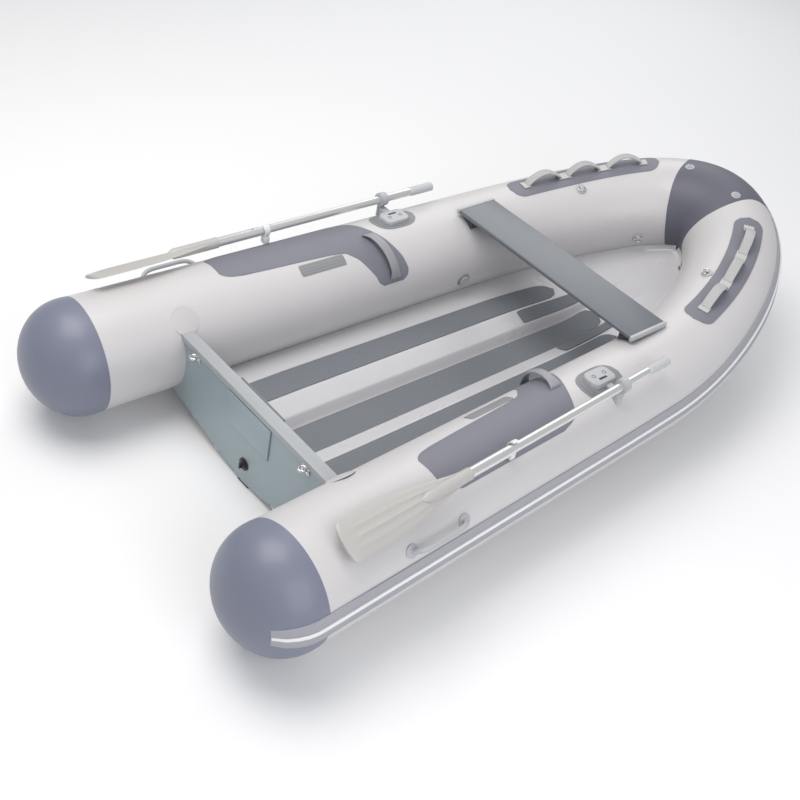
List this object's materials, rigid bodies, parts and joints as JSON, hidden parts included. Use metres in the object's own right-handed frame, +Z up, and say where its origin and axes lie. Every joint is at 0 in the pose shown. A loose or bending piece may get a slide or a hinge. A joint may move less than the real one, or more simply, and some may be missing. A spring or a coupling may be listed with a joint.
{
  "type": "rigid inflatable dinghy",
  "caption": "Rigid-hull inflatable tender with a buoyancy tube, transom for an outboard motor, bench seat and oars stowed in rowlocks along the tube.",
  "frame": {"origin": "under the middle of the boat, on the keel guard's underside", "axes": "+Y towards the bow, +X to starboard, +Z up"},
  "size_m": [1.704, 3.2437, 0.682],
  "materials": {
    "hull_gelcoat": "glossy moulded gelcoat",
    "deck_gelcoat": "satin moulded gelcoat",
    "nonskid": "ribbed non-skid pad",
    "keel_rubber": "worn black strip",
    "marine_ply": "sealed plywood",
    "transom_paint": "grey-teal marine paint on plywood",
    "cap_plastic": "extruded edge trim",
    "motor_pad": "ribbed wear plate",
    "stainless": "polished stainless steel",
    "black_plastic": "moulded black",
    "tube_fabric": "coated fabric, pale grey",
    "bow_fabric": "coated fabric, charcoal",
    "cone_fabric": "coated fabric, blue-grey",
    "strake_rubber": "extruded rubbing strake",
    "bead_white": "white extruded bead",
    "patch_fabric": "textured reinforcing patch",
    "label_plastic": "blank plate",
    "webbing": "woven strap",
    "strap_rubber": "moulded strap",
    "grey_plastic": "moulded light grey",
    "white_plastic": "moulded white",
    "seat_paint": "blue-grey painted board",
    "ivory_plastic": "moulded ivory",
    "oar_alu": "bright anodised tube",
    "dark_rubber": "moulded dark rubber"
  },
  "bodies": {
    "hull": {"hull_shell": "hull_gelcoat", "deck_liner": "deck_gelcoat", "floor_pads": "nonskid", "keel_guard": "keel_rubber", "hull_stringers": "marine_ply", "transom_board": "transom_paint", "transom_cap": "cap_plastic", "motor_pad_inner": "motor_pad", "motor_pad_outer": "motor_pad", "transom_eyes": "stainless", "eye_bolts": "stainless", "drain_socket": "black_plastic", "bow_eye": "stainless", "aft_tubes": "tube_fabric", "fore_tubes": "tube_fabric", "bow_tube": "bow_fabric", "aft_cones": "cone_fabric", "tube_baffles": "tube_fabric", "rub_band": "strake_rubber", "rub_bead": "bead_white", "side_patches": "patch_fabric", "label_plates": "label_plastic", "grab_handles": "strap_rubber", "loop_patches": "patch_fabric", "loop_handles": "webbing", "side_handles": "grey_plastic", "bow_eyelets": "white_plastic", "ring_bases": "strap_rubber", "valve_bodies": "black_plastic", "seat_brackets": "dark_rubber", "rowlock_bases": "dark_rubber", "rowlock_housings": "grey_plastic", "oar_clips": "white_plastic"},
    "drain_plug": {"drain_plug": "black_plastic"},
    "seat": {"seat_board": "seat_paint", "seat_end_caps": "ivory_plastic"},
    "rowlock_port": {"rowlock_ring_port": "grey_plastic"},
    "collar_port": {"oar_collar_port": "black_plastic"},
    "oar_port": {"oar_blade_port": "ivory_plastic", "oar_lower_port": "oar_alu", "oar_shaft_port": "oar_alu", "oar_grip_port": "dark_rubber"},
    "button_port": {"oar_button_port": "stainless"},
    "ring_upper_port": {"d_ring_upper_port": "stainless"},
    "ring_lower_port": {"d_ring_lower_port": "stainless"},
    "rowlock_starboard": {"rowlock_ring_starboard": "grey_plastic"},
    "collar_starboard": {"oar_collar_starboard": "black_plastic"},
    "oar_starboard": {"oar_blade_starboard": "ivory_plastic", "oar_lower_starboard": "oar_alu", "oar_shaft_starboard": "oar_alu", "oar_grip_starboard": "dark_rubber"},
    "button_starboard": {"oar_button_starboard": "stainless"},
    "ring_upper_starboard": {"d_ring_upper_starboard": "stainless"},
    "ring_lower_starboard": {"d_ring_lower_starboard": "stainless"},
    "valve_cap_port": {"valve_cap_port": "grey_plastic"},
    "valve_poppet_port": {"valve_poppet_port": "white_plastic"},
    "valve_cap_starboard": {"valve_cap_starboard": "grey_plastic"},
    "valve_poppet_starboard": {"valve_poppet_starboard": "white_plastic"},
    "valve_cap_bow": {"valve_cap_bow": "grey_plastic"},
    "valve_poppet_bow": {"valve_poppet_bow": "white_plastic"}
  },
  "joints": [
    {"name": "drain_plug_pull", "type": "slide", "parent": "hull", "child": "drain_plug", "axis": [0, -1, 0], "range_m": [0, 0.04]},
    {"name": "seat_lift", "type": "slide", "parent": "hull", "child": "seat", "axis": [0, 0, 1], "range_m": [0, 0.15]},
    {"name": "rowlock_swing_port", "type": "hinge", "parent": "hull", "child": "rowlock_port", "pos_m": [-0.6869, 0.00372, 0.521], "axis": [0, 0, -1], "range_deg": [0, 80]},
    {"name": "oar_feather_port", "type": "hinge", "parent": "rowlock_port", "child": "collar_port", "pos_m": [-0.6869, 0.00372, 0.521], "axis": [-0.0488, -0.9986, -0.0209], "range_deg": [-6, 6]},
    {"name": "oar_slide_port", "type": "slide", "parent": "collar_port", "child": "oar_port", "axis": [0.0488, 0.9986, 0.0209], "range_m": [-0.06, 0.03]},
    {"name": "button_press_port", "type": "slide", "parent": "oar_port", "child": "button_port", "axis": [0.001, 0.0209, -0.9998], "range_m": [0, 0.004], "stiffness_N_per_m": 400},
    {"name": "ring_upper_port_turn", "type": "hinge", "parent": "hull", "child": "ring_upper_port", "pos_m": [-0.36201, 0.90182, 0.53531], "axis": [-0.3487, -0.9207, -0.1755], "range_deg": [0, 140]},
    {"name": "ring_lower_port_turn", "type": "hinge", "parent": "hull", "child": "ring_lower_port", "pos_m": [-0.12494, 1.10622, 0.34936], "axis": [-0.5702, -0.7883, -0.2311], "range_deg": [0, 140]},
    {"name": "rowlock_swing_starboard", "type": "hinge", "parent": "hull", "child": "rowlock_starboard", "pos_m": [0.6869, 0.00372, 0.521], "axis": [0, 0, 1], "range_deg": [0, 80]},
    {"name": "oar_feather_starboard", "type": "hinge", "parent": "rowlock_starboard", "child": "collar_starboard", "pos_m": [0.6869, 0.00372, 0.521], "axis": [-0.0488, 0.9986, 0.0209], "range_deg": [-6, 6]},
    {"name": "oar_slide_starboard", "type": "slide", "parent": "collar_starboard", "child": "oar_starboard", "axis": [-0.0488, 0.9986, 0.0209], "range_m": [-0.06, 0.03]},
    {"name": "button_press_starboard", "type": "slide", "parent": "oar_starboard", "child": "button_starboard", "axis": [-0.001, 0.0209, -0.9998], "range_m": [0, 0.004], "stiffness_N_per_m": 400},
    {"name": "ring_upper_starboard_turn", "type": "hinge", "parent": "hull", "child": "ring_upper_starboard", "pos_m": [0.36201, 0.90182, 0.53531], "axis": [-0.3487, 0.9207, 0.1755], "range_deg": [0, 140]},
    {"name": "ring_lower_starboard_turn", "type": "hinge", "parent": "hull", "child": "ring_lower_starboard", "pos_m": [0.12494, 1.10622, 0.34936], "axis": [-0.5702, 0.7883, 0.2311], "range_deg": [0, 140]},
    {"name": "valve_cap_port_turn", "type": "hinge", "parent": "hull", "child": "valve_cap_port", "pos_m": [-0.35671, 0.24721, 0.24405], "axis": [-0.9841, 0.0385, 0.1736], "range_deg": [0, 90]},
    {"name": "valve_poppet_port_press", "type": "slide", "parent": "hull", "child": "valve_poppet_port", "axis": [-0.9841, 0.0385, 0.1736], "range_m": [0, 0.004], "stiffness_N_per_m": 300},
    {"name": "valve_cap_starboard_turn", "type": "hinge", "parent": "hull", "child": "valve_cap_starboard", "pos_m": [0.36508, 0.00736, 0.241], "axis": [-0.9841, -0.0385, -0.1736], "range_deg": [0, 90]},
    {"name": "valve_poppet_starboard_press", "type": "slide", "parent": "hull", "child": "valve_poppet_starboard", "axis": [0.9841, 0.0385, 0.1736], "range_m": [0, 0.004], "stiffness_N_per_m": 300},
    {"name": "valve_cap_bow_turn", "type": "hinge", "parent": "hull", "child": "valve_cap_bow", "pos_m": [0.35671, 0.24721, 0.24405], "axis": [-0.9841, -0.0385, -0.1736], "range_deg": [0, 90]},
    {"name": "valve_poppet_bow_press", "type": "slide", "parent": "hull", "child": "valve_poppet_bow", "axis": [0.9841, 0.0385, 0.1736], "range_m": [0, 0.004], "stiffness_N_per_m": 300}
  ]
}
